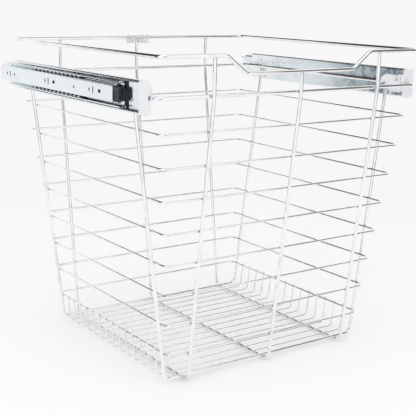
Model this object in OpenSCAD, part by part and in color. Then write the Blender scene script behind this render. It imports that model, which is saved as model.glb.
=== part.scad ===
// Pull-out wire basket for a kitchen cabinet, hung between two telescoping ball slides.
// X runs across the cabinet, the front of the basket faces -Y and Z is up.
// The basket is shown pushed in. Z = 0 is the underside of the basket.

/* [Basket] */
// Width across the outside of the ring that carries the slides
basket_w = 431.4; // [330:0.1:600]
// Depth across the outside of the top frame wire, front to back
basket_d = 416.2; // [400:0.1:560]
// Height from the underside of the floor to the top of the frame wire
basket_h = 434.7; // [420:0.1:600]
// Lean of the four walls below the slide ring, in degrees
wall_lean = 7.2; // [3:0.1:9]
// Drop from the top frame wire to the slide ring, centre to centre
slide_ring_drop = 48.4; // [40:0.1:60]
// Number of thin ring wires below the slide ring
ring_count = 8; // [8:1:8]
// Drop from the slide ring to the first thin ring, centre to centre
first_ring_drop = 43.5; // [30:0.1:50]
// Drop from each thin ring to the next one
ring_pitch = 42.5; // [30:0.1:44]

/* [Wires] */
// Diameter of the frame, ring and U wires that carry the load
frame_wire_d = 5; // [4:0.1:6]
// Diameter of the thin ring wires
ring_wire_d = 3; // [2.5:0.1:4]
// Diameter of the floor wires
floor_wire_d = 2.5; // [2:0.1:4]
// Bend radius of the corners, to the middle of the wire
corner_bend_r = 10; // [6:0.5:20]
// Depth to which crossing wires melt into each other at a weld
weld_bite = 0.3; // [0.1:0.05:0.4]
// Depth to which the end of a wire melts into the wire that it butts against
butt_bite = 0.45; // [0.2:0.05:0.5]

/* [Handle] */
// Width of the dropped handle where it leaves the top run of the frame
handle_top_w = 236; // [160:1:280]
// Width of the dropped handle at its lowest run
handle_low_w = 176.6; // [100:0.1:200]
// Depth of the dropped handle below the top run
handle_drop = 22.4; // [18:0.1:30]

/* [U wires and floor] */
// Distance between neighbouring front-to-back U wires
u_wire_pitch = 136; // [90:1:150]
// Distance from the front and the rear of the basket in to the side-to-side U wires
cross_wire_inset = 61.6; // [55:0.1:90]
// Number of floor wires between the two side-to-side U wires
floor_wire_count = 14; // [6:1:18]
// Bend radius where a floor wire turns up the side wall
floor_bend_r = 5; // [4:0.5:10]
// Length of a floor wire above the lowest ring
floor_tip = 4; // [2:0.5:10]

/* [Slides] */
// Thickness of a closed slide
slide_t = 12.7; // [12.4:0.1:14]
// Sheet thickness of the three rails
sheet = 1.2; // [1:0.05:1.3]
// Distance from the front and the rear of the basket to the ends of the basket rail
rail_end_gap = 30.1; // [28:0.1:60]
// Length by which the intermediate rail is shorter than the basket rail
intermediate_rail_cut = 18.5; // [12:0.5:40]
// Length by which the cabinet rail is shorter than the basket rail
cabinet_rail_cut = 16; // [12:0.5:40]
// Length by which the basket's travel is shorter than the basket rail
travel_cut = 26; // [26:0.5:160]
// Height of the outer ball rows above and below the middle of the slide
outer_row_h = 17.5; // [17:0.1:20]
// Distance of the outer ball rows from the face on the basket side
outer_row_x = 5.6; // [5.5:0.1:5.8]
// Diameter of the outer balls
outer_ball_d = 3.5; // [3.2:0.1:3.6]
// Distance from the outer to the inner ball rows, across the thickness
row_step_x = 3; // [2.8:0.1:3.2]
// Diameter of the inner balls
inner_ball_d = 4; // [3.6:0.1:4.1]
// Distance between neighbouring balls in a row
ball_pitch = 12; // [8:0.5:20]
// Clearance between a ball and its race or pocket
ball_gap = 0.1; // [0.05:0.01:0.15]
// Sheet thickness of the ball cages
cage_t = 0.5; // [0.4:0.05:0.6]
// Gap between parts that slide past each other or meet at a stop
slide_gap = 0.3; // [0.2:0.05:0.4]

// Gap between the slide ring wire and the basket rail
ring_rail_gap = 0.2; // [0.1:0.05:0.3]

/* [Slide fixings] */
// Width of the lying screw slots in the cabinet rail
screw_slot_w = 4.4; // [3:0.1:5]
// Length of the lying screw slots, end to end
screw_slot_l = 7; // [6:0.1:9]
// Distance from the front of the cabinet rail to the middle of its first screw slot
screw_slot_inset = 33.7; // [20:0.1:40]
// Distance from a screw slot back to the long adjusting slot
long_slot_back = 16.5; // [12:0.5:17]
// Width of the long adjusting slot
long_slot_w = 2.5; // [2:0.1:4]
// Height of the long adjusting slot
long_slot_l = 9; // [7:0.1:12]
// Distance from a screw slot back to the short adjusting slot
short_slot_back = 26.3; // [22:0.1:30]
// Width of the short adjusting slot
short_slot_w = 3; // [2:0.1:4]
// Height of the short adjusting slot
short_slot_l = 5; // [4.5:0.1:9]
// Diameter of the screwdriver hole in the intermediate rail
access_hole_d = 10; // [8:0.5:14]

/* [Stops] */
// Distance from the front of the basket rail to the bumper
bumper_inset = 35.7; // [35:0.1:38]
// Length of the bumper
bumper_l = 5.5; // [5:0.1:8]
// Height of the thick middle of the bumper
bumper_h = 15; // [12:0.5:22]
// Depth of the bumper, out from the basket rail
bumper_depth = 5.7; // [4:0.1:8]
// Length of the bumper's slim legs
bumper_leg_l = 2.4; // [2:0.1:4]
// Length of the bare end of the intermediate rail in front of the stop block
block_inset = 2; // [2:0.5:8]
// Length of the stop block
block_l = 11.2; // [8:0.1:16]
// Height of the stop block
block_h = 17; // [12:0.5:18]

/* [Clips] */
// Clearance of the clips around the slide ring wire
clip_gap = 0.1; // [0.05:0.05:0.2]
// Depth of the front clip's saddle towards the inside of the basket
clip_depth = 7.4; // [7:0.1:9]
// Distance from the front of the basket rail to the saddle
saddle_inset = 11; // [10:0.1:13]
// Length of the saddle along the wire
saddle_l = 28; // [26:0.1:30]
// Distance by which the lower half of the saddle lies further forward than the upper half
saddle_shift = 10; // [9:0.1:11]
// Height of the saddle above the middle of the wire
saddle_top = 10.5; // [9.5:0.1:13]
// Reach of the saddle below the middle of the wire
saddle_foot = 14; // [11:0.1:15]
// Length of the front clip's end cap
cap_l = 9; // [7:0.1:14]
// Wall thickness of the end cap
cap_wall = 2; // [1.6:0.1:2.5]
// Length of the snap finger along the wire
finger_l = 12; // [10:0.1:14]
// Height of the snap finger above the middle of the wire
finger_h = 12; // [10:0.1:14]
// Diameter of the pegs that hold the plastic parts and the rear hooks
peg_d = 3.2; // [3:0.1:4]
// Sheet thickness of the rear hooks
hook_t = 1; // [0.8:0.05:1.2]
// Width of a rear hook's plate along the wire
hook_plate_l = 14; // [13:0.1:18]
// Width of a rear hook's tongue along the wire
hook_tongue_l = 8; // [6:0.1:10]
// Height of a rear hook's plate above the middle of the wire
hook_top = 13.5; // [12:0.1:16]
// Length of the clear sleeve on the rear run of the top frame wire
sleeve_l = 37.4; // [20:0.1:60]
// Distance of the sleeve's middle to the right of the centre U wire
sleeve_offset = 2.4; // [0:0.1:8]
// Wall thickness of the clear sleeve
sleeve_wall = 1.3; // [1:0.1:2]
// Reach of the sleeve's two skirts below the wire
sleeve_skirt = 6; // [4:0.1:10]

/* [Hidden] */
$fn = 32;
over = 1;             // how far a cutting body runs past the surface it cuts
bite = 0.2;           // how far a pressed or moulded form starts inside what carries it

// Wire centre lines of the basket. Half sizes are measured from the middle of the basket.
frame_r = frame_wire_d / 2;
frame_z = basket_h - frame_r;
frame_half_d = basket_d / 2 - frame_r;
slide_ring_z = frame_z - slide_ring_drop;
slide_ring_half_w = basket_w / 2 - frame_r;
slide_ring_half_d = frame_half_d - frame_wire_d + weld_bite;
frame_half_w = slide_ring_half_w - frame_r;
lean = tan(wall_lean);
wall_step = (frame_r + ring_wire_d / 2 - weld_bite) / cos(wall_lean);
u_floor_z = frame_r;
cross_floor_z = u_floor_z + frame_wire_d - weld_bite;
cross_wire_spacing = basket_d - 2 * cross_wire_inset;
floor_wire_z = u_floor_z + frame_r + floor_wire_d / 2 - weld_bite;
last_ring_z = ring_z(ring_count);
handle_z = frame_z - handle_drop;
bead_h = 0.3;
bend_neck = 0.02;
bend_overlap = 0.1;
bead_inset = 22;
ring_gap = 0.2;

function ring_z(number) = slide_ring_z - first_ring_drop - (number - 1) * ring_pitch;
function side_wall_x(z) = slide_ring_half_w - lean * (slide_ring_z - z);
function end_wall_y(z) = frame_half_d - lean * (slide_ring_z - z);
function butt_z(wire_z) = wire_z - frame_r + butt_bite;

// Cross-section of a slide: X from the face on the basket side, Y up from the middle.
bend_r = 2;
cage_bend_r = 1.2;
outer_race_r = outer_ball_d / 2 + ball_gap + sheet / 2;
inner_race_r = inner_ball_d / 2 + ball_gap + sheet / 2;
row_step_h = sqrt(pow(outer_race_r + inner_race_r, 2) - pow(row_step_x, 2));
inner_row_x = outer_row_x + row_step_x;
inner_row_h = outer_row_h - row_step_h;
race_turn = atan2(row_step_h, row_step_x);
basket_web_x = sheet / 2;
basket_flange_h = outer_row_h + outer_race_r;
outer_cage_web_x = sheet + slide_gap + cage_t / 2;
intermediate_web_x = outer_cage_web_x + cage_t / 2 + slide_gap + sheet / 2;
intermediate_flange_h = outer_row_h - outer_race_r;
inner_cage_web_x = intermediate_web_x + sheet / 2 + slide_gap + cage_t / 2;
cabinet_web_x = slide_t - sheet / 2;
cabinet_flange_h = inner_row_h - inner_race_r;
cabinet_bend_r = 1.8;
slide_half_h = basket_flange_h + sheet / 2;
outer_race_end = 5;          // angles at which the curled races end
inner_race_end = 20;
cabinet_race_end = -150;
outer_cage_edge_x = outer_row_x + 1.3;
inner_cage_edge_x = inner_row_x + 1;

// Lengths of the three rails, and the distance that the basket pulls out
basket_rail_l = basket_d - 2 * rail_end_gap;
intermediate_rail_l = basket_rail_l - intermediate_rail_cut;
cabinet_rail_l = basket_rail_l - cabinet_rail_cut;
travel = basket_rail_l - travel_cut;

// Places along a slide, Y from the middle of the basket, pushed in.
basket_rail_front = -basket_rail_l / 2;
basket_rail_rear = basket_rail_l / 2;
bumper_front = basket_rail_front + bumper_inset;
bumper_rear = bumper_front + bumper_l;
intermediate_front = bumper_rear + slide_gap;
intermediate_rear = intermediate_front + intermediate_rail_l;
block_front = intermediate_front + block_inset;
block_rear = block_front + block_l;
cabinet_front = block_rear + slide_gap;
cabinet_rear = cabinet_front + cabinet_rail_l;
tab_h = 8;
tab_l = 1.2;
basket_tab_inset = 5;
front_tab_inset = 0.6;
rear_tab_inset = 1.8;
outer_cage_front = intermediate_front + front_tab_inset + tab_l + slide_gap + travel / 4;
outer_cage_rear = basket_rail_rear - basket_tab_inset - tab_l - slide_gap - travel / 4;
inner_cage_front = cabinet_front + front_tab_inset + tab_l + slide_gap + travel / 4;
inner_cage_rear = intermediate_rear - rear_tab_inset - tab_l - slide_gap - travel / 4;
first_slot_y = cabinet_front + screw_slot_inset;
slot_grid = 32;
last_slot_room = 50;
screw_slot_pitch =
    slot_grid * floor((cabinet_rail_l - screw_slot_inset - last_slot_room) / 2 / slot_grid);
dimple_y = first_slot_y + screw_slot_pitch / 2 + 4;
dimple_d = 6;
dimple_rise = sheet - 0.4;
cage_end = 5;
cage_window_inset = 12;
cage_window_h = 14;

// Where the basket rail meets the slide ring: a pressed dome clears the end of the cross wire,
// and three punch marks lie above it, each given as its way back from the front and its height.
slide_x = basket_w / 2 + ring_rail_gap;
wire_x = slide_ring_half_w - slide_x;
seat_r = frame_r + clip_gap;
dome_y = -cross_wire_spacing / 2 - 1.5;
dome_h = -4.6;
dome_d = 8;
dome_rise = sheet - 0.5;
punch_marks = [[40.9, 16.1], [40.7, 13.5], [33.7, 15]];
punch_d = 1.6;
punch_depth = 0.5;

// Front clip and rear hook
clip_round = 3;
small_round = 1;
upper_saddle_y = basket_rail_front + saddle_inset + saddle_l / 2;
lower_saddle_y = upper_saddle_y - saddle_shift;
saddle_arch_r = 17.5;
saddle_back_r = 18.6;
upper_peg_h = 7;
lower_peg_h = -8;
cap_rear = basket_rail_front - slide_gap;
cap_front = cap_rear - cap_l;
cap_cheek = 2.4;
cap_out = inner_row_x + 0.4;
finger_front = cap_front + 3.3;
finger_lip = 1.2;
finger_wall = 1.3;
finger_slot_l = 1.4;
hook_y = basket_rail_rear - 20;
hook_bend_r = 1.2;
hook_turn = 215;
hook_rivet_step = 9;
hook_rivet_h = 9;
rivet_head_d = 5;
rivet_head_h = 0.8;

// The middle of the whole part, front to back, is put at Y = 0.
part_front = min(-basket_d / 2, cap_front);
part_rear = max(basket_d / 2, cabinet_rear, intermediate_rear);
shift_y = -(part_front + part_rear) / 2;

ring_names = [for (number = [1 : ring_count]) str("ring_wire_", number)];

// ---------------------------------------------------------------- wire forming

// A wire is formed as on a bending machine: fed straight, rolled about itself and bent round
// a pin, again and again. Each step carries on from the end of the one before.
function unit(v) = v / norm(v);
function heading(points, i) = unit(points[i + 1] - points[i]);
function bend_normal(points, i) = unit(cross(heading(points, i - 1), heading(points, i)));
function bend_angle(points, i) = acos(heading(points, i - 1) * heading(points, i));
function is_corner(points, i) = i > 0 && i < len(points) - 1;
function bend_cut(points, i, r) =
    is_corner(points, i) ? r * tan(bend_angle(points, i) / 2) : 0;
function feed(points, i, r) =
    norm(points[i + 1] - points[i]) - bend_cut(points, i, r) - bend_cut(points, i + 1, r);
function roll_angle(points, i) =
    let (before = bend_normal(points, i - 1), after = bend_normal(points, i))
    atan2(cross(before, after) * heading(points, i - 1), before * after);

// A bend of the wire round a pin at the middle of the frame, from the X axis on. Like a real
// one it necks a hair, and its ends run a little way into the straight runs.
module wire_bend(turn, d, r) {
    overlap = bend_overlap / r * 180 / PI;
    rotate(-90 - overlap)
        rotate_extrude(angle = turn + 2 * overlap)
            translate([r, 0])
                circle(d = d - 2 * bend_neck);
}

// The rest of a wire, from its run number i on, in a frame whose X axis is the wire
module wire_from(points, d, r, i) {
    length = feed(points, i, r);
    rotate([0, 90, 0])
        cylinder(d = d, h = length);
    if (is_corner(points, i + 1)) {
        turn = bend_angle(points, i + 1);
        roll = i == 0 ? 0 : roll_angle(points, i + 1);
        translate([length, 0, 0])
            rotate([roll, 0, 0])
                translate([0, r, 0]) {
                    wire_bend(turn, d, r);
                    rotate(turn)
                        translate([0, -r, 0])
                            wire_from(points, d, r, i + 1);
                }
    }
}

// A wire of diameter d along corner points, with round bends of radius r
module bent_wire(points, d, r) {
    along = heading(points, 0);
    up = bend_normal(points, 1);
    side = cross(up, along);
    start = points[0];
    multmatrix([
        [along.x, side.x, up.x, start.x],
        [along.y, side.y, up.y, start.y],
        [along.z, side.z, up.z, start.z]
    ])
        wire_from(points, d, r, 0);
}

// The bead where the two ends of a ring are butt-welded, in a run along X
module weld_bead(at, d) {
    translate([at.x - d / 4, at.y, at.z])
        rotate([0, 90, 0])
            cylinder(d = d + 2 * bead_h, h = d / 2);
}

// A closed rectangular ring, welded in its rear run
module ring_wire(half_w, half_d, z, d) {
    seam_x = half_w - bead_inset;
    bent_wire([
        [seam_x - ring_gap / 2, half_d, z], [-half_w, half_d, z], [-half_w, -half_d, z],
        [half_w, -half_d, z], [half_w, half_d, z], [seam_x + ring_gap / 2, half_d, z]
    ], d, corner_bend_r);
    weld_bead([seam_x, half_d, z], d);
}

module placed() {
    translate([0, shift_y, 0])
        children();
}

// ---------------------------------------------------------------- basket wires

// Top frame: three plain sides, and a front run that drops to form the handle
module top_frame_wire() {
    seam_x = frame_half_w - bead_inset;
    color("silver") placed() {
        bent_wire([
            [seam_x - ring_gap / 2, frame_half_d, frame_z],
            [-frame_half_w, frame_half_d, frame_z],
            [-frame_half_w, -frame_half_d, frame_z],
            [-handle_top_w / 2, -frame_half_d, frame_z],
            [-handle_low_w / 2, -frame_half_d, handle_z],
            [handle_low_w / 2, -frame_half_d, handle_z],
            [handle_top_w / 2, -frame_half_d, frame_z],
            [frame_half_w, -frame_half_d, frame_z],
            [frame_half_w, frame_half_d, frame_z],
            [seam_x + ring_gap / 2, frame_half_d, frame_z]
        ], frame_wire_d, corner_bend_r);
        weld_bead([seam_x, frame_half_d, frame_z], frame_wire_d);
    }
}

module slide_ring_wire() {
    color("silver") placed()
        ring_wire(slide_ring_half_w, slide_ring_half_d, slide_ring_z, frame_wire_d);
}

// Thin ring, counted from the top, inside the U wires
module thin_ring(number) {
    z = ring_z(number);
    color("silver") placed()
        ring_wire(side_wall_x(z) - wall_step, end_wall_y(z) - wall_step, z, ring_wire_d);
}

// Front-to-back U wire: upright past the slide ring, then leaning in to the floor
module u_wire(x, front_top_z) {
    floor_y = end_wall_y(u_floor_z);
    color("silver") placed()
        bent_wire([
            [x, -frame_half_d, front_top_z],
            [x, -frame_half_d, slide_ring_z],
            [x, -floor_y, u_floor_z],
            [x, floor_y, u_floor_z],
            [x, frame_half_d, slide_ring_z],
            [x, frame_half_d, butt_z(frame_z)]
        ], frame_wire_d, corner_bend_r);
}

// Side-to-side U wire, hung under the slide ring and laid over the front-to-back wires
module cross_wire(y) {
    top_z = butt_z(slide_ring_z);
    top_x = side_wall_x(top_z);
    floor_x = side_wall_x(cross_floor_z);
    color("silver") placed()
        bent_wire([
            [-top_x, y, top_z], [-floor_x, y, cross_floor_z],
            [floor_x, y, cross_floor_z], [top_x, y, top_z]
        ], frame_wire_d, corner_bend_r);
}

// Floor wires, with both ends turned up outside the lowest ring
module floor_wires() {
    tip_z = last_ring_z + floor_tip;
    inset = (frame_r - floor_wire_d / 2) / cos(wall_lean);
    tip_x = side_wall_x(tip_z) - inset;
    floor_x = side_wall_x(floor_wire_z) - inset;
    gap = cross_wire_spacing / (floor_wire_count + 1);
    color("silver") placed()
        for (i = [1 : floor_wire_count]) {
            y = i * gap - cross_wire_spacing / 2;
            bent_wire([
                [-tip_x, y, tip_z], [-floor_x, y, floor_wire_z],
                [floor_x, y, floor_wire_z], [tip_x, y, tip_z]
            ], floor_wire_d, floor_bend_r);
        }
}

// ---------------------------------------------------------------- slide sections

// A strip of sheet between two points of the section
module sheet_strip(from, to, t) {
    along = to - from;
    translate(from)
        rotate(atan2(along.y, along.x))
            translate([0, -t / 2])
                square([norm(along), t]);
}

// A curved strip of sheet around a centre, from one angle to a larger one. The bend thins the
// sheet a hair, and its ends run a little way into the flat sheet on either side.
module sheet_arc(centre, r, from, to, t) {
    overlap = bend_overlap / r * 180 / PI;
    half_t = t / 2 - bend_neck;
    reach = 3 * r + t;
    middle = (from + to) / 2;
    translate(centre)
        intersection() {
            difference() {
                circle(r = r + half_t);
                circle(r = r - half_t);
            }
            polygon([
                [0, 0],
                reach * [cos(from - overlap), sin(from - overlap)],
                reach * [cos(middle), sin(middle)],
                reach * [cos(to + overlap), sin(to + overlap)]
            ]);
        }
}

// The web of a rail, between the bends at its two edges
module web_strip(x, half_h, t) {
    sheet_strip([x, -half_h], [x, half_h], t);
}

module both_edges() {
    children();
    mirror([0, 1])
        children();
}

module basket_rail_section() {
    corner = [basket_web_x + bend_r, basket_flange_h - bend_r];
    web_strip(basket_web_x, corner.y, sheet);
    both_edges() {
        sheet_arc(corner, bend_r, 90, 180, sheet);
        sheet_strip([corner.x, basket_flange_h], [outer_row_x, basket_flange_h], sheet);
        sheet_arc([outer_row_x, outer_row_h], outer_race_r, outer_race_end, 90, sheet);
    }
}

// The edge runs under the outer balls and then, with the opposite curve, over the inner ones
module intermediate_rail_section() {
    corner = [intermediate_web_x + bend_r, intermediate_flange_h - bend_r];
    web_strip(intermediate_web_x, corner.y, sheet);
    both_edges() {
        sheet_arc(corner, bend_r, 90, 180, sheet);
        sheet_strip([corner.x, intermediate_flange_h], [outer_row_x, intermediate_flange_h], sheet);
        sheet_arc([outer_row_x, outer_row_h], outer_race_r, -90, -race_turn, sheet);
        sheet_arc([inner_row_x, inner_row_h], inner_race_r, inner_race_end, 180 - race_turn,
            sheet - 2 * bend_neck);
    }
}

module cabinet_rail_section() {
    corner = [cabinet_web_x - cabinet_bend_r, cabinet_flange_h - cabinet_bend_r];
    web_strip(cabinet_web_x, corner.y, sheet);
    both_edges() {
        sheet_arc(corner, cabinet_bend_r, 0, 90, sheet);
        sheet_strip([inner_row_x, cabinet_flange_h], [corner.x, cabinet_flange_h], sheet);
        sheet_arc([inner_row_x, inner_row_h], inner_race_r, cabinet_race_end, -90, sheet);
    }
}

// A cage is a thin channel whose edges reach out to the balls and hold them in pockets
module cage_section(web_x, row_h, edge_x) {
    corner = [web_x + cage_bend_r, row_h - cage_bend_r];
    web_strip(web_x, corner.y, cage_t);
    both_edges() {
        sheet_arc(corner, cage_bend_r, 90, 180, cage_t);
        sheet_strip([corner.x, row_h], [edge_x, row_h], cage_t);
    }
}

// ---------------------------------------------------------------- slide parts

// Puts a slide part, drawn for the right side, on its own side of the basket
module on_side(side) {
    placed()
        mirror([side == "left" ? 1 : 0, 0, 0])
            translate([slide_x, 0, slide_ring_z])
                children();
}

module rolled(front, rear) {
    translate([0, rear, 0])
        rotate([90, 0, 0])
            linear_extrude(rear - front)
                children();
}

// A round cutter or pin along X
module across(from, to, y, z, d) {
    translate([from, y, z])
        rotate([0, 90, 0])
            cylinder(d = d, h = to - from);
}

// A cutter for a slot through a web along X: upright at turn 0 and lying at turn 90
module slot(from, to, y, w, l, turn) {
    straight = l - w;
    translate([0, y, 0])
        rotate([turn, 0, 0]) {
            for (end = [-1, 1])
                across(from, to, 0, end * straight / 2, w);
            translate([from, -w / 2, -straight / 2])
                cube([to - from, w, straight]);
        }
}

// Places a form that rises towards -X on a web at x. With way = 1 it rises towards +X.
module on_web(x, y, z, way) {
    translate([x, y, z])
        mirror([way > 0 ? 1 : 0, 0, 0])
            children();
}

// A round dome pressed out of a web. The shell stands on the web, and the recess is cut out
// behind it, which leaves the sheet as thick as before.
function dome_r(d, rise) = (d * d / 4 + rise * rise) / (2 * rise);

module dome_shell(d, rise) {
    r = dome_r(d, rise);
    intersection() {
        translate([r - rise, 0, 0])
            sphere(r = r);
        across(-rise - over, bite, 0, 0, d + 2);
    }
}

module dome_recess(d, rise) {
    r = dome_r(d, rise);
    translate([r - rise, 0, 0])
        sphere(r = r - sheet);
}

// A stop tab lanced out of a web
module tab(from, to, y) {
    translate([from, y, -tab_h / 2])
        cube([to - from, tab_l, tab_h]);
}

// A hole through the basket rail's web for a peg or rivet
module peg_hole(y, z) {
    across(-over, sheet + over, y, z, peg_d + 2 * clip_gap);
}

module basket_rail(side) {
    tab_y = basket_rail_rear - basket_tab_inset - tab_l;
    color("lightsteelblue") on_side(side) {
        difference() {
            union() {
                rolled(basket_rail_front, basket_rail_rear)
                    basket_rail_section();
                on_web(sheet, dome_y, dome_h, 1)
                    dome_shell(dome_d, dome_rise);
            }
            on_web(sheet, dome_y, dome_h, 1)
                dome_recess(dome_d, dome_rise);
            peg_hole(upper_saddle_y, upper_peg_h);
            peg_hole(lower_saddle_y, lower_peg_h);
            peg_hole((bumper_front + bumper_rear) / 2, 0);
            for (end = [-1, 1])
                peg_hole(hook_y + end * hook_rivet_step / 2, hook_rivet_h);
            for (mark = punch_marks)
                across(sheet - punch_depth, sheet + over, basket_rail_front + mark[0], mark[1], punch_d);
        }
        tab(sheet - bite, outer_cage_web_x + cage_t / 2, tab_y);
    }
}

module intermediate_rail(side) {
    inner_face = intermediate_web_x - sheet / 2;
    outer_face = intermediate_web_x + sheet / 2;
    color("lightsteelblue") on_side(side) {
        difference() {
            rolled(intermediate_front, intermediate_rear)
                intermediate_rail_section();
            across(inner_face - over, outer_face + over, first_slot_y + travel / 2, 0, access_hole_d);
            across(inner_face - over, outer_face + over, (block_front + block_rear) / 2, 0,
                peg_d + 2 * clip_gap);
        }
        tab(outer_cage_web_x - cage_t / 2, inner_face + bite, intermediate_front + front_tab_inset);
        tab(outer_face - bite, inner_cage_web_x + cage_t / 2,
            intermediate_rear - rear_tab_inset - tab_l);
    }
}

module cabinet_rail(side) {
    outer_face = cabinet_web_x + sheet / 2;
    inner_face = cabinet_web_x - sheet / 2;
    from = inner_face - over;
    to = outer_face + over;
    color("gainsboro") on_side(side) {
        difference() {
            union() {
                rolled(cabinet_front, cabinet_rear)
                    cabinet_rail_section();
                on_web(inner_face, dimple_y, 0, -1)
                    dome_shell(dimple_d, dimple_rise);
            }
            on_web(inner_face, dimple_y, 0, -1)
                dome_recess(dimple_d, dimple_rise);
            for (i = [0 : 2]) {
                y = first_slot_y + i * screw_slot_pitch;
                slot(from, to, y, screw_slot_w, screw_slot_l, 90);
                slot(from, to, y + long_slot_back, long_slot_w, long_slot_l, 0);
                slot(from, to, y + short_slot_back, short_slot_w, short_slot_l, 0);
            }
        }
        tab(inner_cage_web_x - cage_t / 2, inner_face + bite, cabinet_front + front_tab_inset);
    }
}

function ball_count(front, rear) = floor((rear - front - 2 * cage_end) / ball_pitch) + 1;
function ball_y(front, rear, i) =
    (front + rear) / 2 + (i - (ball_count(front, rear) - 1) / 2) * ball_pitch;

// A cage from front to rear, with a pocket for each ball and a long window in its web
module ball_cage(side, front, rear, web_x, row_x, row_h, edge_x, ball_d) {
    window_l = rear - front - 2 * cage_window_inset;
    color("slategray") on_side(side)
        difference() {
            rolled(front, rear)
                cage_section(web_x, row_h, edge_x);
            for (i = [0 : ball_count(front, rear) - 1], edge = [-1, 1])
                translate([row_x, ball_y(front, rear, i), edge * row_h - ball_d / 2])
                    cylinder(d = ball_d + 2 * ball_gap, h = ball_d);
            translate([web_x - over, front + cage_window_inset, -cage_window_h / 2])
                cube([2 * over, window_l, cage_window_h]);
        }
}

module ball_rows(side, front, rear, row_x, row_h, ball_d) {
    color("white") on_side(side)
        for (i = [0 : ball_count(front, rear) - 1], edge = [-1, 1])
            translate([row_x, ball_y(front, rear, i), edge * row_h])
                sphere(d = ball_d);
}

module outer_ball_cage(side) {
    ball_cage(side, outer_cage_front, outer_cage_rear, outer_cage_web_x, outer_row_x, outer_row_h,
        outer_cage_edge_x, outer_ball_d);
}

module inner_ball_cage(side) {
    ball_cage(side, inner_cage_front, inner_cage_rear, inner_cage_web_x, inner_row_x, inner_row_h,
        inner_cage_edge_x, inner_ball_d);
}

module outer_balls(side) {
    ball_rows(side, outer_cage_front, outer_cage_rear, outer_row_x, outer_row_h, outer_ball_d);
}

module inner_balls(side) {
    ball_rows(side, inner_cage_front, inner_cage_rear, inner_row_x, inner_row_h, inner_ball_d);
}

// ---------------------------------------------------------------- stops

module rounded_rect(size, r) {
    translate([r, 0])
        square([size.x - 2 * r, size.y]);
    translate([0, r])
        square([size.x, size.y - 2 * r]);
    for (x = [r, size.x - r], y = [r, size.y - r])
        translate([x, y])
            circle(r = r);
}

// A block with rounded upright corners: its outline is drawn along Y and Z, its depth along X
module block(from, to, front, rear, low, high, r) {
    translate([from, front, low])
        rotate([90, 0, 90])
            linear_extrude(to - from)
                rounded_rect([rear - front, high - low], r);
}

// Rubber bumper in the basket rail: a thick middle, two slim legs and a peg through the web
module bumper(side) {
    middle = (bumper_front + bumper_rear) / 2;
    leg_depth = 1.6;
    leg_h = basket_flange_h - bend_r;
    color("black") on_side(side) {
        block(sheet, sheet + bumper_depth, bumper_front, bumper_rear, -bumper_h / 2, bumper_h / 2,
            small_round);
        block(sheet, sheet + leg_depth, middle - bumper_leg_l / 2, middle + bumper_leg_l / 2,
            -leg_h, leg_h, small_round);
        across(bite, sheet + over, middle, 0, peg_d);
    }
}

// Ribbed stop block on the intermediate rail, which meets the front of the cabinet rail
module stop_block(side) {
    from = intermediate_web_x + sheet / 2;
    to = cabinet_web_x - sheet / 2 - 2 * slide_gap;
    half_h = block_h / 2;
    groove = 1;
    color("darkslategray") on_side(side) {
        difference() {
            block(from, to, block_front, block_rear, -half_h, half_h, 2 * small_round);
            for (i = [1 : 3])
                translate([to - groove, block_front + i * block_l / 4 - groove / 2, -half_h - over])
                    cube([groove + over, groove, block_h + 2 * over]);
        }
        across(from - sheet + bite, from + over, (block_front + block_rear) / 2, 0, peg_d);
    }
}

// ---------------------------------------------------------------- clips and hooks

// The wire's way into a clip: a round seat that is open towards the rail
module wire_channel(front, rear) {
    rolled(front - over, rear + over) {
        translate([wire_x, 0])
            circle(r = seat_r);
        translate([wire_x, -seat_r])
            square([over - wire_x, 2 * seat_r]);
    }
}

// The room that a cross wire needs where it hangs from the slide ring, below the saddle
module cross_wire_notch(y) {
    half_l = frame_r + slide_gap;
    translate([-clip_depth - over, y - half_l, -slide_half_h - over])
        cube([clip_depth + 2 * over, 2 * half_l, slide_half_h + over]);
}

// Outline of one half of the saddle, seen from the side: an arch with a flat top at height h
module saddle_arch(y, h) {
    intersection() {
        translate([y, h - saddle_arch_r + 1.5])
            circle(r = saddle_arch_r);
        translate([y - saddle_l / 2, -2])
            square([saddle_l, h + 2]);
    }
}

// The saddle wraps the wire. Its lower half is set forward, clear of the cross wire.
module saddle() {
    intersection() {
        translate([-clip_depth, 0, 0])
            rotate([90, 0, 90])
                linear_extrude(clip_depth) {
                    saddle_arch(upper_saddle_y, saddle_top);
                    mirror([0, 1])
                        saddle_arch(lower_saddle_y, saddle_foot);
                }
        rolled(basket_rail_front - over, upper_saddle_y + saddle_l)
            translate([saddle_back_r - clip_depth, 0])
                circle(r = saddle_back_r);
    }
}

// Snap finger over the wire: two slim legs under a common head
module finger() {
    rear = finger_front + finger_l;
    slot_y = finger_front + finger_l / 2;
    difference() {
        block(wire_x - seat_r - finger_wall, 0, finger_front, rear, finger_lip, finger_h, small_round);
        translate([-clip_depth - over, slot_y, finger_lip - over])
            cube([clip_depth + 2 * over, finger_slot_l, finger_h - finger_lip - 1.5]);
    }
}

// Hollow cap that closes the front of the basket rail and grips the wire with two cheeks
module end_cap() {
    half_h = slide_half_h;
    room = cap_l - cap_wall;
    difference() {
        intersection() {
            block(-cap_cheek, cap_out, cap_front, cap_rear, -half_h, half_h, clip_round);
            rolled(cap_front - over, cap_rear + over)
                translate([-cap_cheek, -half_h])
                    rounded_rect([cap_out + cap_cheek, 2 * half_h], clip_round);
        }
        block(cap_wall, cap_out - cap_wall, cap_rear - room, cap_rear + room,
            cap_wall - half_h, half_h - cap_wall, small_round);
    }
}

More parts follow.
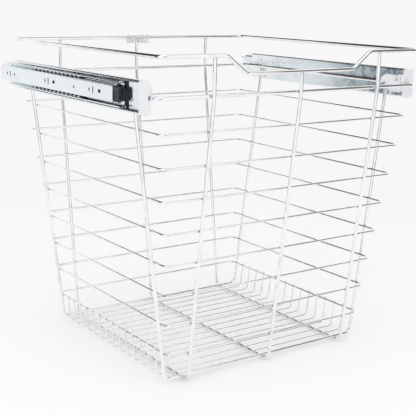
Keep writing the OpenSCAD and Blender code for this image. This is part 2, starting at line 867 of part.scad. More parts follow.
// Front clip: saddle, snap finger and end cap in one moulding, pegged into the basket rail
module front_clip(side) {
    color("white", 0.6) on_side(side) {
        difference() {
            union() {
                saddle();
                finger();
                end_cap();
                block(-cap_cheek, 0, cap_rear - cap_wall, lower_saddle_y - saddle_l / 4,
                    -saddle_foot + clip_round, -seat_r - over, small_round);
            }
            wire_channel(cap_front, upper_saddle_y + saddle_l / 2);
            cross_wire_notch(-cross_wire_spacing / 2);
        }
        across(-over, sheet, upper_saddle_y, upper_peg_h, peg_d);
        across(-over, sheet, lower_saddle_y, lower_peg_h, peg_d);
    }
}

// Rear hook: a stamped plate, riveted to the basket rail, whose tongue curls over the wire
module rear_clip(side) {
    arc_r = seat_r + hook_t / 2;
    bend = [-hook_t / 2 - hook_bend_r, arc_r + hook_bend_r];
    half_plate = hook_plate_l / 2;
    half_tongue = hook_tongue_l / 2;
    color("lightsteelblue") on_side(side) {
        block(-hook_t, 0, hook_y - half_plate, hook_y + half_plate, bend.y, hook_top,
            2 * small_round);
        rolled(hook_y - half_tongue, hook_y + half_tongue) {
            sheet_arc(bend, hook_bend_r, -90, 0, hook_t);
            sheet_strip([wire_x, arc_r], [bend.x, arc_r], hook_t);
            sheet_arc([wire_x, 0], arc_r, 90, hook_turn, hook_t);
        }
        for (end = [-1, 1]) {
            y = hook_y + end * hook_rivet_step / 2;
            across(-hook_t / 2, sheet, y, hook_rivet_h, peg_d);
            across(-hook_t - rivet_head_h, -hook_t + bite, y, hook_rivet_h, rivet_head_d);
        }
    }
}

// Clear sleeve snapped on the rear run of the frame, notched where the centre U wire comes up
module frame_sleeve() {
    bore_d = frame_wire_d + 2 * clip_gap;
    outer_d = bore_d + 2 * sleeve_wall;
    low = -frame_r - sleeve_skirt;
    notch = frame_wire_d + 2;
    color("white", 0.5) placed()
        translate([sleeve_offset - sleeve_l / 2, frame_half_d, frame_z])
            rotate([90, 0, 90])
                difference() {
                    linear_extrude(sleeve_l)
                        difference() {
                            union() {
                                circle(d = outer_d);
                                translate([-outer_d / 2, low])
                                    square([outer_d, -low]);
                            }
                            circle(d = bore_d);
                            translate([-bore_d / 2, low - over])
                                square([bore_d, over - low]);
                        }
                    translate([-outer_d, low - over, sleeve_l / 2 - sleeve_offset - notch / 2])
                        cube([2 * outer_d, over - low, notch]);
                }
}

// ---------------------------------------------------------------- assembly

top_frame_wire();
slide_ring_wire();
for (number = [1 : ring_count])
    thin_ring(number);
u_wire(-u_wire_pitch, butt_z(frame_z));  // left_u_wire
u_wire(0, butt_z(handle_z));  // centre_u_wire
u_wire(u_wire_pitch, butt_z(frame_z));  // right_u_wire
cross_wire(-cross_wire_spacing / 2);  // front_cross_wire
cross_wire(cross_wire_spacing / 2);  // rear_cross_wire
floor_wires();
for (side = ["left", "right"]) {
    basket_rail(side);
    intermediate_rail(side);
    cabinet_rail(side);
    outer_ball_cage(side);
    outer_balls(side);
    inner_ball_cage(side);
    inner_balls(side);
    bumper(side);
    stop_block(side);
    front_clip(side);
    rear_clip(side);
}
frame_sleeve();
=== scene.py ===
"""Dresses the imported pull-out cabinet basket and puts it in a plain studio."""
import math

import bpy
from bpy.props import FloatProperty, FloatVectorProperty, IntProperty, PointerProperty
from mathutils import Matrix, Vector


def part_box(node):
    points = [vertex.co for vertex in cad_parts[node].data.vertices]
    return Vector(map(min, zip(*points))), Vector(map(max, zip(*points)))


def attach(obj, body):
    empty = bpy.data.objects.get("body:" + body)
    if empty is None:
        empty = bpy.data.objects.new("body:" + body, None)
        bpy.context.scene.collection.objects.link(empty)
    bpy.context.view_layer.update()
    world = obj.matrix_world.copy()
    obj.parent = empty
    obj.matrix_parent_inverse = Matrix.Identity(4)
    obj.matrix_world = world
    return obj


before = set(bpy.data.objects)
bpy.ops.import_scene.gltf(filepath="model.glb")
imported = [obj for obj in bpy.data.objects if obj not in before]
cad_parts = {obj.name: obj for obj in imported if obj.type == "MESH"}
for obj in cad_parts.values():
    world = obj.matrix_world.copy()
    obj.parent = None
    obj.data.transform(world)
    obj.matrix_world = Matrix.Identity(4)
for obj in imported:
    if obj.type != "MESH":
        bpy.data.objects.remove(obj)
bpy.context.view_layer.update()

bl_info = {
    "name": "Pull-out basket studio",
    "version": (1, 0, 0),
    "blender": (4, 5, 0),
    "location": "View3D > Sidebar > Basket",
    "description": "Finishes, weld nuggets and studio for a pull-out wire basket",
    "category": "Object",
}

MM = 0.001
WHITE = (1.0, 1.0, 1.0)

SIDES = ("left", "right")
RINGS = sorted(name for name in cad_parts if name.startswith("ring_wire"))
U_WIRES = ("left_u_wire", "centre_u_wire", "right_u_wire")
CROSS_WIRES = ("front_cross_wire", "rear_cross_wire")
WIRES = ("top_frame_wire", "slide_ring_wire", *RINGS, *U_WIRES, *CROSS_WIRES,
         "floor_wires")
FLOOR_WIRE_COUNT = 14

# Half of how deep two welded wires sink into each other
HALF_BITE = 0.15 * MM
# A weld nugget's half sizes along X, Y and Z in millimetres, by what it joins
NUGGETS = {
    "ring to U wire": (4.3, 1.5, 1.7),
    "ring to cross wire": (1.2, 3.2, 1.9),
    "slide ring to U wire": (4.5, 1.6, 2.4),
    "frame to U wire": (2.8, 2.3, 1.2),
    "slide ring to cross wire": (2.9, 3.0, 1.2),
    "cross wire to U wire": (2.7, 2.7, 1.1),
    "floor wire to U wire": (1.9, 2.0, 0.8),
    "floor wire to ring": (0.9, 1.9, 1.8),
}
# The most that a nugget leans to either side, in radians
NUGGET_LEAN = 0.12
# Scale of the noise that a nugget's skin follows
NUGGET_GRAIN = 1100.0
# The nuggets' settings, each with the label and kind of its geometry nodes input
NUGGET_INPUTS = {
    "size": ("Nugget size", "NodeSocketFloat"),
    "unevenness": ("Unevenness", "NodeSocketFloat"),
    "spread": ("Spread", "NodeSocketFloat"),
    "seed": ("Seed", "NodeSocketInt"),
}

# Half the width of the studio floor
FLOOR_HALF = 2.0
# Dark sheets that only the metal mirrors: their colour, lowest and highest corner
FLAGS = {
    "left_flag": ((0.07, 0.11, 0.14), (-2.5, 1.85, -1.0), (-2.5, 2.85, 1.6)),
    "side_flag": ((0.28, 0.31, 0.34), (-2.5, 0.2, -1.0), (-2.5, 1.85, 1.6)),
    "right_flag": ((0.14, 0.14, 0.14), (0.9, -1.35, 0.0), (0.9, -0.3, 1.3)),
    "top_flag": ((0.03, 0.03, 0.035), (-1.6, 0.3, 1.45), (1.0, 2.3, 1.45)),
    "left_card": ((0.02, 0.022, 0.026), (-0.8, 0.1, 0.45), (-0.8, 1.15, 2.2)),
    "front_flag": ((0.03, 0.03, 0.035), (-2.6, -2.0, 0.5), (-0.2, -2.0, 2.6)),
}


# ------------------------------------------------------------------ node trees

class Signal:
    """A node's output. Arithmetic on signals adds Math nodes to their tree."""

    def __init__(self, tree, socket):
        self.tree = tree
        self.socket = socket

    def math(self, operation, *values):
        return self.tree.add("ShaderNodeMath", {"operation": operation},
                             dict(enumerate(values)))

    def __add__(self, other):
        return self.math("ADD", self, other)

    __radd__ = __add__

    def __sub__(self, other):
        return self.math("SUBTRACT", self, other)

    def __rsub__(self, other):
        return self.math("SUBTRACT", other, self)

    def __mul__(self, other):
        return self.math("MULTIPLY", self, other)

    __rmul__ = __mul__

    def __gt__(self, other):
        return self.math("GREATER_THAN", self, other)


class Tree:
    """A node tree, emptied first. Each call adds a node and returns its output."""

    def __init__(self, node_tree):
        self.node_tree = node_tree
        node_tree.nodes.clear()

    def add(self, kind, settings=None, inputs=None, output=0):
        """Adds a node, sets its settings, then fills or links its inputs."""
        node = self.node_tree.nodes.new(kind)
        for name, value in (settings or {}).items():
            setattr(node, name, value)
        for key, value in (inputs or {}).items():
            if isinstance(value, Signal):
                self.node_tree.links.new(value.socket, node.inputs[key])
            else:
                node.inputs[key].default_value = value
        return Signal(self, node.outputs[output]) if len(node.outputs) else None

    def place(self):
        return self.add("ShaderNodeTexCoord", output="Object")

    def noise(self, where, scale, detail=3.0, roughness=0.55, distortion=0.0):
        return self.add("ShaderNodeTexNoise", {"normalize": True}, {
            "Vector": where, "Scale": scale, "Detail": detail,
            "Roughness": roughness, "Distortion": distortion})

    def stretched(self, where, scale):
        return self.add("ShaderNodeMapping", {}, {"Vector": where, "Scale": scale})

    def between(self, value, low, high):
        """0 up to low, 1 from high, and a smooth step from one to the other."""
        return self.add(
            "ShaderNodeMapRange", {"clamp": True, "interpolation_type": "SMOOTHSTEP"},
            {"Value": value, "From Min": low, "From Max": high})

    def mix(self, factor, a, b):
        """Mixes two colours, through the node's colour sockets 6 and 7."""
        return self.add("ShaderNodeMix", {"data_type": "RGBA"},
                        {0: factor, 6: a, 7: b}, output=2)

    def bump(self, height, distance, strength):
        return self.add("ShaderNodeBump", {}, {
            "Height": height, "Distance": distance, "Strength": strength})


def rgba(colour):
    """The colour with full alpha."""
    return (*colour[:3], 1.0)


def shade(colour, amount):
    """The colour, lighter or darker by a factor."""
    return rgba([min(1.0, channel * amount) for channel in colour[:3]])


def new_material(name):
    made = bpy.data.materials.new(name)
    made.use_nodes = True
    return made, Tree(made.node_tree)


def surface(tree, **inputs):
    """Ends a material's tree in one Principled shader."""
    principled = tree.add("ShaderNodeBsdfPrincipled", {}, inputs)
    tree.add("ShaderNodeOutputMaterial", {}, {"Surface": principled})


# ------------------------------------------------------------------ finishes

def bright_chrome(colours):
    """Chrome on drawn wire: warm and cool clouds, tiny pits and a hair-fine grain."""
    made, tree = new_material("bright_chrome")
    where = tree.place()
    clouds = tree.noise(where, scale=38.0, distortion=0.6)
    haze = tree.noise(where, scale=240.0, detail=2.0)
    grain = tree.noise(where, scale=1400.0, detail=2.0)
    pits = tree.between(tree.noise(where, scale=2600.0, detail=1.0), 0.68, 0.78)
    plating = tree.mix(tree.between(clouds, 0.42, 0.7),
                       rgba(colours.chrome), rgba(colours.chrome_warm))
    surface(tree, **{
        "Base Color": tree.mix(pits * 0.6, plating, shade(colours.chrome, 0.55)),
        "Metallic": 1.0,
        "Roughness": 0.035 + 0.09 * haze + 0.25 * pits,
        "Normal": tree.bump(grain, distance=0.03 * MM, strength=0.25)})
    return made


def weld_metal(colours):
    """Chromed weld metal: duller and pitted, darkened all over and most in its hollows
    as painted shade where the wires cross.
    """
    made, tree = new_material("chromed_weld_painted_shade")
    lumps = tree.noise(tree.place(), scale=900.0, detail=4.0)
    # Painted shade: the colour is dimmed to between a quarter and seven tenths of the
    # chrome, darkest in the hollows, for the shade where two wires cross
    surface(tree, **{
        "Base Color": tree.mix(tree.between(lumps, 0.3, 0.62),
                               shade(colours.chrome, 0.25), shade(colours.chrome, 0.7)),
        "Metallic": 1.0,
        "Roughness": 0.16 + 0.3 * lumps,
        "Normal": tree.bump(lumps, distance=0.15 * MM, strength=0.6)})
    return made


def zinc_sheet(colours, name, darkness):
    """Bluish zinc on rolled sheet: blotches, rolling lines along it and light rubs."""
    made, tree = new_material(name)
    where = tree.place()
    blotches = tree.noise(where, scale=70.0, detail=5.0, roughness=0.65, distortion=0.9)
    lines = tree.noise(tree.stretched(where, (1300.0, 18.0, 1300.0)), scale=1.0,
                       detail=4.0)
    spangle = tree.add("ShaderNodeTexVoronoi", {"feature": "F1"}, {
        "Vector": where, "Scale": 300.0, "Randomness": 1.0}, output="Distance")
    rub_lines = tree.noise(tree.stretched(where, (500.0, 5.0, 700.0)), scale=1.0)
    rubs = tree.between(rub_lines, 0.66, 0.74)
    # darkness dims all the plating; on the intermediate rails and the ball cages it is
    # partly painted shade
    tint = tree.mix(
        tree.between(blotches, 0.34, 0.66),
        shade(colours.zinc, 1.0 - darkness), shade(colours.zinc_light, 1.0 - darkness))
    surface(tree, **{
        "Base Color": tree.mix(
            0.35 * tree.between(lines, 0.35, 0.7) + 0.45 * rubs,
            tint, shade(colours.zinc_light, 1.04 - darkness)),
        "Metallic": 1.0,
        "Roughness": 0.09 + 0.14 * tree.between(blotches, 0.35, 0.68) + 0.04 * lines,
        "Normal": tree.bump(lines + 0.4 * spangle, distance=0.008 * MM, strength=0.3)})
    return made


def polished_balls(colours):
    """Polished bearing steel under a thin, patchy film of grease."""
    made, tree = new_material("polished_ball_steel")
    film = tree.noise(tree.place(), scale=500.0)
    surface(tree, **{
        "Base Color": tree.mix(film, rgba(colours.ball), shade(colours.ball, 0.86)),
        "Metallic": 1.0,
        "Roughness": 0.08 + 0.14 * film,
        "Normal": tree.bump(film, distance=0.02 * MM, strength=0.2)})
    return made


def moulded(name, colour, grain_scale, roughness, dust_light):
    """Moulded rubber or nylon: a fine mould grain under patches of dust."""
    made, tree = new_material(name)
    where = tree.place()
    grain = tree.noise(where, scale=grain_scale, detail=5.0)
    dust = tree.between(tree.noise(where, scale=150.0), 0.45, 0.75)
    surface(tree, **{
        "Base Color": tree.mix(dust * 0.6, rgba(colour), shade(colour, dust_light)),
        "Roughness": roughness + 0.2 * grain,
        "Normal": tree.bump(grain, distance=0.12 * MM, strength=0.5)})
    return made


def milky_plastic(name, colour, shadow, transmission, roughness):
    """Translucent moulded plastic: soft clouds of a second colour and faint flow lines.
    """
    made, tree = new_material(name)
    where = tree.place()
    clouds = tree.noise(where, scale=130.0, detail=4.0, distortion=1.2)
    flow = tree.noise(tree.stretched(where, (500.0, 120.0, 500.0)), scale=1.0)
    surface(tree, **{
        # On the clips the second colour is painted shade, laid in soft clouds; on the
        # sleeve it is the clips' colour
        "Base Color": tree.mix(tree.between(clouds, 0.4, 0.72),
                               rgba(colour), rgba(shadow)),
        "Roughness": roughness + 0.12 * flow,
        "Transmission Weight": transmission,
        "IOR": 1.5,
        "Normal": tree.bump(flow, distance=0.05 * MM, strength=0.3)})
    return made


def dress(material, *nodes):
    """Gives CAD nodes their finish."""
    for name in nodes:
        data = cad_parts[name].data
        data.materials.clear()
        data.materials.append(material)


def both(*parts):
    """The left and the right node of each part."""
    return [f"{side}_{part}" for side in SIDES for part in parts]


# ------------------------------------------------------------------ sizes and colours

def colour_property(name, description, default):
    return FloatVectorProperty(name=name, description=description, subtype="COLOR",
                               default=default, min=0, max=1)


def place_property(name, description, default):
    return FloatVectorProperty(name=name, description=description,
                               subtype="TRANSLATION", unit="LENGTH", default=default)


class BasketColours(bpy.types.PropertyGroup):
    chrome: colour_property(
        "Chrome", "Colour of the chromed wire", (0.93, 0.935, 0.95))
    chrome_warm: colour_property(
        "Warm chrome", "Its warmer clouds", (0.86, 0.83, 0.80))
    zinc: colour_property(
        "Zinc", "Darker blotches of the zinc plating", (0.72, 0.79, 0.83))
    zinc_light: colour_property(
        "Light zinc", "Lighter zinc between them", (0.87, 0.91, 0.92))
    ball: colour_property("Balls", "Colour of the bearing balls", (0.92, 0.92, 0.92))
    rubber: colour_property("Rubber", "Colour of the bumpers", (0.012, 0.012, 0.016))
    nylon: colour_property("Nylon", "Colour of the stop blocks", (0.035, 0.045, 0.055))
    clip: colour_property("Clips", "Colour of the front clips", (0.97, 0.97, 1.0))
    # Painted shade on the clips, laid in soft clouds over them
    clip_shadow: colour_property(
        "Clip shadow", "Clouds in the clips", (0.93, 0.93, 1.0))
    sleeve: colour_property("Sleeve", "Colour of the clear sleeve", (0.95, 0.96, 0.97))


class WeldSizes(bpy.types.PropertyGroup):
    size: FloatProperty(
        name="Nugget size", description="Factor on the size of every nugget",
        subtype="FACTOR", default=1.0, min=0.5, max=1.5)
    unevenness: FloatProperty(
        name="Unevenness", description="How far a nugget's skin wanders",
        subtype="DISTANCE", unit="LENGTH", default=0.35 * MM, min=0)
    spread: FloatProperty(
        name="Spread", description="How much the nuggets differ in size",
        subtype="FACTOR", default=0.16, min=0, max=0.4)
    seed: IntProperty(
        name="Seed", description="Seed of the nuggets' differences", default=7)


class StudioSettings(bpy.types.PropertyGroup):
    camera_place: place_property(
        "Camera place", "Where the camera stands", (-0.780356, -1.115239, 0.503945))
    yaw: FloatProperty(
        name="Yaw", description="Camera's turn to the right of straight ahead",
        subtype="ANGLE", default=0.614)
    pitch: FloatProperty(
        name="Pitch", description="Camera's tilt upwards", subtype="ANGLE",
        default=-0.227)
    roll: FloatProperty(
        name="Roll", description="Camera's roll", subtype="ANGLE", default=0.018)
    lens: FloatProperty(
        name="Lens", description="Focal length", subtype="DISTANCE_CAMERA",
        default=80.39, min=10)
    room: colour_property(
        "Room", "Colour of the white room behind the basket", (0.93, 0.93, 0.93))
    ambient: FloatProperty(
        name="Ambient", description="Strength of the room's light on surfaces",
        subtype="FACTOR", default=0.85, min=0, max=2)
    floor: colour_property("Floor", "Colour of the pale floor", (0.86, 0.86, 0.86))
    floor_glow: FloatProperty(
        name="Floor glow", description="Light that the floor adds to its shadows",
        subtype="FACTOR", default=0.17, min=0, max=1)
    fade_start: FloatProperty(
        name="Fade start", description="Distance from the basket's middle at which "
        "the floor begins to melt into the room",
        subtype="DISTANCE", unit="LENGTH", default=0.45, min=0)
    fade_end: FloatProperty(
        name="Fade end", description="Distance at which the floor is gone",
        subtype="DISTANCE", unit="LENGTH", default=1.3, min=0)
    lamp_place: place_property(
        "Lamp place", "Where the soft box hangs", (-0.9, -1.0, 2.0))
    lamp_target: place_property(
        "Lamp target", "The point the soft box faces", (0.0, 0.0, 0.2))
    lamp_size: FloatProperty(
        name="Lamp size", description="Width of the soft box", subtype="DISTANCE",
        unit="LENGTH", default=2.0, min=0)
    lamp_power: FloatProperty(
        name="Lamp power", description="Power of the soft box", subtype="POWER",
        unit="POWER", default=9.0, min=0)


# ------------------------------------------------------------------ weld nuggets

def weld_places():
    """Every weld between two wires: its place, and its nugget's half sizes."""
    def middle(node, axis):
        low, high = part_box(node)
        return (low[axis] + high[axis]) / 2

    centre_y = middle("centre_u_wire", 1)
    slide_z = middle("slide_ring_wire", 2)
    frame_low, frame_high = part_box("top_frame_wire")
    slide_low, slide_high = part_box("slide_ring_wire")
    u_low, u_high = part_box("centre_u_wire")
    thick = u_high[0] - u_low[0]
    floor_z = thick - HALF_BITE
    welds = []

    def weld(joint, x, y, z):
        welds.append(((x, y, z), NUGGETS[joint]))

    def front_and_rear(joint, x, front_y, z):
        for y in (front_y, 2 * centre_y - front_y):
            weld(joint, x, y, z)

    def left_and_right(joint, right_x, y, z):
        for x in (-right_x, right_x):
            weld(joint, x, y, z)

    for ring in RINGS:
        low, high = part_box(ring)
        z = middle(ring, 2)
        for u_wire in U_WIRES:
            front_and_rear("ring to U wire", middle(u_wire, 0), low[1] + HALF_BITE, z)
        for cross_wire in CROSS_WIRES:
            left_and_right("ring to cross wire", high[0] - HALF_BITE,
                           middle(cross_wire, 1), z)
    for u_wire in U_WIRES:
        x = middle(u_wire, 0)
        front_and_rear("slide ring to U wire", x, slide_low[1] + HALF_BITE, slide_z)
        rear_z = frame_high[2] - thick
        # The frame drops at the handle, where the centre wire meets it
        front_z = frame_low[2] if u_wire == "centre_u_wire" else rear_z
        front_y = frame_low[1] + thick / 2
        weld("frame to U wire", x, front_y, front_z)
        weld("frame to U wire", x, 2 * centre_y - front_y, rear_z)
    for cross_wire in CROSS_WIRES:
        y = middle(cross_wire, 1)
        left_and_right("slide ring to cross wire", slide_high[0] - thick / 2, y,
                       slide_z - thick / 2)
        for u_wire in U_WIRES:
            weld("cross wire to U wire", middle(u_wire, 0), y, floor_z)
    first_y, last_y = (middle(cross_wire, 1) for cross_wire in CROSS_WIRES)
    lowest_ring = RINGS[-1]
    for number in range(1, FLOOR_WIRE_COUNT + 1):
        y = first_y + (last_y - first_y) * number / (FLOOR_WIRE_COUNT + 1)
        for u_wire in U_WIRES:
            weld("floor wire to U wire", middle(u_wire, 0), y, floor_z)
        left_and_right("floor wire to ring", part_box(lowest_ring)[1][0] - HALF_BITE, y,
                       middle(lowest_ring, 2))
    return welds


def nugget_group(sizes, material):
    """Geometry nodes that grow an uneven nugget, of its half_size, on every point.

    Returns them with the identifier of each setting's input. Random Value's sockets
    0 and 1 are its vector ones, 2 and 3 its number ones.
    """
    group = bpy.data.node_groups.new("weld_nuggets", "GeometryNodeTree")

    def new_socket(label, way, kind):
        return group.interface.new_socket(name=label, in_out=way, socket_type=kind)

    new_socket("Places", "INPUT", "NodeSocketGeometry")
    identifiers = {}
    for field, (label, kind) in NUGGET_INPUTS.items():
        socket = new_socket(label, "INPUT", kind)
        socket.default_value = getattr(sizes, field)
        identifiers[field] = socket.identifier
    new_socket("Nuggets", "OUTPUT", "NodeSocketGeometry")
    tree = Tree(group)
    entry = tree.add("NodeGroupInput").socket.node
    given = {field: Signal(tree, socket)
             for field, socket in zip(("places", *NUGGET_INPUTS), entry.outputs)}
    ball = tree.add("GeometryNodeMeshIcoSphere", {}, {"Radius": 1.0, "Subdivisions": 2})
    half_size = tree.add("GeometryNodeInputNamedAttribute",
                         {"data_type": "FLOAT_VECTOR"}, {"Name": "half_size"})
    growth = tree.add("FunctionNodeRandomValue", {"data_type": "FLOAT"}, {
        2: 1.0 - given["spread"], 3: 1.0 + given["spread"],
        "Seed": given["seed"]}, output=1)
    scale = tree.add("ShaderNodeVectorMath", {"operation": "SCALE"}, {
        0: half_size, "Scale": growth * given["size"]})
    turn = tree.add("FunctionNodeRandomValue", {"data_type": "FLOAT_VECTOR"}, {
        0: (-NUGGET_LEAN,) * 3, 1: (NUGGET_LEAN,) * 3, "Seed": given["seed"]})
    placed = tree.add("GeometryNodeInstanceOnPoints", {}, {
        "Points": given["places"], "Instance": ball, "Rotation": turn, "Scale": scale})
    solid = tree.add("GeometryNodeRealizeInstances", {}, {0: placed})
    wander = tree.noise(tree.add("GeometryNodeInputPosition"), scale=NUGGET_GRAIN,
                        detail=2.0, roughness=0.5)
    lift = tree.add("ShaderNodeVectorMath", {"operation": "SCALE"}, {
        0: tree.add("GeometryNodeInputNormal"),
        "Scale": (wander - 0.5) * given["unevenness"]})
    uneven = tree.add("GeometryNodeSetPosition", {}, {
        "Geometry": solid, "Offset": lift})
    smooth = tree.add("GeometryNodeSetShadeSmooth", {}, {"Geometry": uneven})
    finished = tree.add("GeometryNodeSetMaterial", {}, {
        "Geometry": smooth, "Material": material})
    tree.add("NodeGroupOutput", {}, {0: finished})
    return group, identifiers


# ------------------------------------------------------------------ operators

class BASKET_OT_wires(bpy.types.Operator):
    """Chromes every wire of the basket"""
    bl_idname = "basket.wires"
    bl_label = "Wires"

    def execute(self, context):
        dress(bright_chrome(context.scene.basket_colours), *WIRES)
        return {"FINISHED"}


class BASKET_OT_weld_nuggets(bpy.types.Operator):
    """Puts a weld nugget on every crossing and butt joint of the wires"""
    bl_idname = "basket.weld_nuggets"
    bl_label = "Weld nuggets"

    def execute(self, context):
        sizes = context.scene.basket_welds
        welds = weld_places()
        points = bpy.data.meshes.new("weld_places")
        points.from_pydata([place for place, _ in welds], [], [])
        half_size = points.attributes.new("half_size", "FLOAT_VECTOR", "POINT")
        for item, (_, size) in zip(half_size.data, welds):
            item.vector = [reach * MM for reach in size]
        seeded = bpy.data.objects.new("weld_places", points)
        context.scene.collection.objects.link(seeded)
        material = weld_metal(context.scene.basket_colours)
        group, identifiers = nugget_group(sizes, material)
        grow = seeded.modifiers.new("nuggets", "NODES")
        grow.node_group = group
        for field, identifier in identifiers.items():
            grow[identifier] = getattr(sizes, field)
        evaluated = seeded.evaluated_get(context.evaluated_depsgraph_get())
        mesh = bpy.data.meshes.new_from_object(evaluated)
        mesh.name = "weld_nuggets"
        bpy.data.objects.remove(seeded)
        nuggets = bpy.data.objects.new("weld_nuggets", mesh)
        context.scene.collection.objects.link(nuggets)
        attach(nuggets, "basket")
        return {"FINISHED"}


class BASKET_OT_rails(bpy.types.Operator):
    """Zinc-plates the three rails of both slides and the rear hooks"""
    bl_idname = "basket.rails"
    bl_label = "Rails and hooks"

    def execute(self, context):
        colours = context.scene.basket_colours
        dress(zinc_sheet(colours, "zinc_sheet", darkness=0.0),
              *both("basket_rail", "cabinet_rail", "rear_clip"))
        # The intermediate rails' plating is dimmed a little: partly grease, partly
        # painted shade inside the slide
        dress(zinc_sheet(colours, "greased_zinc_with_painted_shade", darkness=0.05),
              *both("intermediate_rail"))
        return {"FINISHED"}


class BASKET_OT_bearings(bpy.types.Operator):
    """Finishes the ball cages and the balls"""
    bl_idname = "basket.bearings"
    bl_label = "Ball cages and balls"

    def execute(self, context):
        colours = context.scene.basket_colours
        # The ball cages' plating is dimmed hard: partly their own dark finish and
        # grease, partly painted shade between the balls
        dress(zinc_sheet(colours, "greased_cage_with_painted_shade", darkness=0.7),
              *both("outer_ball_cage", "inner_ball_cage"))
        dress(polished_balls(colours), *both("outer_balls", "inner_balls"))
        return {"FINISHED"}


class BASKET_OT_stops(bpy.types.Operator):
    """Finishes the rubber bumpers and the nylon stop blocks"""
    bl_idname = "basket.stops"
    bl_label = "Bumpers and stop blocks"

    def execute(self, context):
        colours = context.scene.basket_colours
        dress(moulded("black_rubber", colours.rubber, grain_scale=1500.0,
                      roughness=0.42, dust_light=2.2), *both("bumper"))
        dress(moulded("dark_nylon", colours.nylon, grain_scale=900.0,
                      roughness=0.3, dust_light=1.8), *both("stop_block"))
        return {"FINISHED"}


class BASKET_OT_clips(bpy.types.Operator):
    """Finishes the milky front clips and the clear sleeve on the frame"""
    bl_idname = "basket.clips"
    bl_label = "Clips and sleeve"

    def execute(self, context):
        colours = context.scene.basket_colours
        # The clips' clouds are painted shade
        dress(milky_plastic("milky_clip_plastic", colours.clip, colours.clip_shadow,
                            transmission=0.08, roughness=0.2), *both("front_clip"))
        dress(milky_plastic("clear_sleeve_plastic", colours.sleeve, colours.clip,
                            transmission=0.6, roughness=0.12), "frame_sleeve")
        return {"FINISHED"}


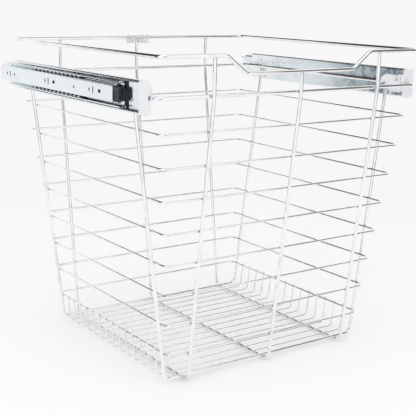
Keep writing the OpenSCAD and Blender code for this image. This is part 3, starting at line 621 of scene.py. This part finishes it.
class BASKET_OT_studio(bpy.types.Operator):
    """Sets the camera, the floor, the dark flags, the white room and the lamp"""
    bl_idname = "basket.studio"
    bl_label = "Studio"

    def execute(self, context):
        studio = context.scene.basket_studio
        self.add_camera(context, studio)
        self.add_floor(context, studio)
        self.add_flags(context)
        self.add_room(context, studio)
        self.add_lamp(context, studio)
        context.scene.view_settings.view_transform = "Standard"
        return {"FINISHED"}

    def add_camera(self, context, studio):
        level = math.cos(studio.pitch)
        ahead = Vector((math.sin(studio.yaw) * level, math.cos(studio.yaw) * level,
                        math.sin(studio.pitch)))
        right = Vector((math.cos(studio.yaw), -math.sin(studio.yaw), 0.0))
        up = right.cross(ahead)
        across = right * math.cos(studio.roll) + up * math.sin(studio.roll)
        upward = up * math.cos(studio.roll) - right * math.sin(studio.roll)
        turn = Matrix((across, upward, -ahead)).transposed()
        data = bpy.data.cameras.new("photo_camera")
        data.lens = studio.lens
        data.sensor_width = 36.0
        data.clip_end = 20.0
        camera = bpy.data.objects.new("photo_camera", data)
        camera.matrix_world = Matrix.Translation(studio.camera_place) @ turn.to_4x4()
        context.scene.collection.objects.link(camera)
        context.scene.camera = camera

    def add_sheet(self, context, name, low, high, material):
        """A sheet between two opposite corners, flat along one axis."""
        across = next(axis for axis in range(3) if low[axis] != high[axis])
        second, last = list(low), list(high)
        second[across], last[across] = high[across], low[across]
        mesh = bpy.data.meshes.new(name)
        mesh.from_pydata([low, second, high, last], [], [(0, 1, 2, 3)])
        mesh.materials.append(material)
        sheet = bpy.data.objects.new(name, mesh)
        context.scene.collection.objects.link(sheet)
        return sheet

    def add_floor(self, context, studio):
        """A pale floor that keeps the basket's shadow and melts into the room."""
        made, tree = new_material("studio_floor")
        away = tree.add("ShaderNodeVectorMath", {"operation": "LENGTH"},
                        {0: tree.place()}, output="Value")
        matt = tree.add("ShaderNodeBsdfDiffuse", {}, {"Color": rgba(studio.floor)})
        glow = tree.add("ShaderNodeEmission", {}, {
            "Color": rgba(studio.room), "Strength": studio.floor_glow})
        lit = tree.add("ShaderNodeAddShader", {}, {0: matt, 1: glow})
        clear = tree.add("ShaderNodeBsdfTransparent")
        floor = tree.add("ShaderNodeMixShader", {}, {
            0: tree.between(away, studio.fade_start, studio.fade_end),
            1: lit, 2: clear})
        tree.add("ShaderNodeOutputMaterial", {}, {"Surface": floor})
        self.add_sheet(context, "studio_floor", (-FLOOR_HALF, -FLOOR_HALF, 0.0),
                       (FLOOR_HALF, FLOOR_HALF, 0.0), made)

    def add_flags(self, context):
        """Dark woven sheets around the basket that only the metal mirrors."""
        for name, (colour, low, high) in FLAGS.items():
            made, tree = new_material(name)
            weave = tree.noise(tree.place(), scale=30.0)
            cloth = tree.add("ShaderNodeEmission", {}, {
                "Color": tree.mix(weave, rgba(colour), shade(colour, 1.8))})
            tree.add("ShaderNodeOutputMaterial", {}, {"Surface": cloth})
            flag = self.add_sheet(context, name, low, high, made)
            flag.visible_camera = False
            flag.visible_diffuse = False
            flag.visible_transmission = False
            flag.visible_shadow = False

    def add_room(self, context, studio):
        """White to the camera, in mirrors and through glass, with plain light."""
        world = bpy.data.worlds.new("white_room")
        context.scene.world = world
        world.use_nodes = True
        tree = Tree(world.node_tree)

        def is_ray(kind):
            return tree.add("ShaderNodeLightPath", output=kind)

        def background(colour, strength):
            return tree.add("ShaderNodeBackground", {}, {
                "Color": rgba(colour), "Strength": strength})

        straight = is_ray("Is Camera Ray") + is_ray("Is Transmission Ray")
        mirrored = tree.add("ShaderNodeMixShader", {}, {
            0: is_ray("Is Glossy Ray"), 1: background(WHITE, studio.ambient),
            2: background(WHITE, 1.0)})
        room = tree.add("ShaderNodeMixShader", {}, {
            0: straight > 0.5, 1: mirrored, 2: background(studio.room, 1.0)})
        tree.add("ShaderNodeOutputWorld", {}, {"Surface": room})

    def add_lamp(self, context, studio):
        data = bpy.data.lights.new("soft_box", "AREA")
        data.energy = studio.lamp_power
        data.size = studio.lamp_size
        lamp = bpy.data.objects.new("soft_box", data)
        lamp.location = studio.lamp_place
        aim = Vector(studio.lamp_target) - lamp.location
        lamp.rotation_euler = aim.to_track_quat("-Z", "Y").to_euler()
        context.scene.collection.objects.link(lamp)


class BASKET_PT_panel(bpy.types.Panel):
    """Lists the steps in the sidebar"""
    bl_label = "Basket"
    bl_space_type = "VIEW_3D"
    bl_region_type = "UI"
    bl_category = "Basket"

    def draw(self, context):
        for step in STEPS:
            self.layout.operator(step.bl_idname)


STEPS = (BASKET_OT_studio, BASKET_OT_wires, BASKET_OT_weld_nuggets, BASKET_OT_rails,
         BASKET_OT_bearings, BASKET_OT_stops, BASKET_OT_clips)
SETTINGS = {"basket_colours": BasketColours, "basket_welds": WeldSizes,
            "basket_studio": StudioSettings}
CLASSES = (*SETTINGS.values(), *STEPS, BASKET_PT_panel)


def register():
    for made in CLASSES:
        bpy.utils.register_class(made)
    for name, made in SETTINGS.items():
        setattr(bpy.types.Scene, name, PointerProperty(type=made))


def unregister():
    for name in SETTINGS:
        delattr(bpy.types.Scene, name)
    for made in reversed(CLASSES):
        bpy.utils.unregister_class(made)


def main():
    register()
    for step in STEPS:
        group, name = step.bl_idname.split(".")
        getattr(getattr(bpy.ops, group), name)()


if __name__ == "__main__":
    main()
